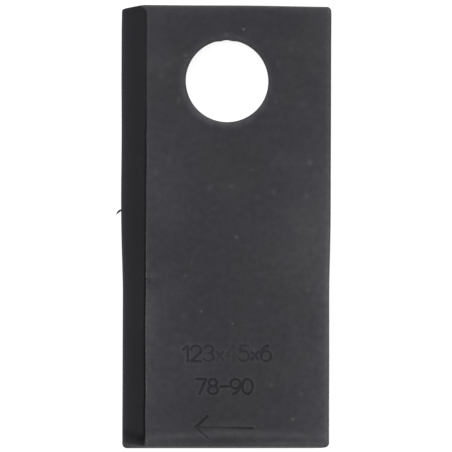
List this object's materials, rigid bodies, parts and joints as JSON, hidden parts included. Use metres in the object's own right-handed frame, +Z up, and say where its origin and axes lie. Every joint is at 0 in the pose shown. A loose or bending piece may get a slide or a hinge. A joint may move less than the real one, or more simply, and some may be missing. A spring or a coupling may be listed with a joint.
{
  "type": "rotary mower blade",
  "caption": "Flat twisted steel blade with a cutting bevel along each long edge, which swings on a pin through its hole to cut grass.",
  "frame": {"origin": "centre of the footprint, on the surface that the blade lies on", "axes": "+Y along the blade towards its pin hole, +Z up, away from the surface, with the upper cutting bevel on the -X side"},
  "size_m": [0.0494, 0.1044, 0.0073],
  "materials": {
    "steel": "dark satin, oil-quenched hardened steel"
  },
  "bodies": {
    "root": {"blade": "steel"}
  },
  "joints": []
}
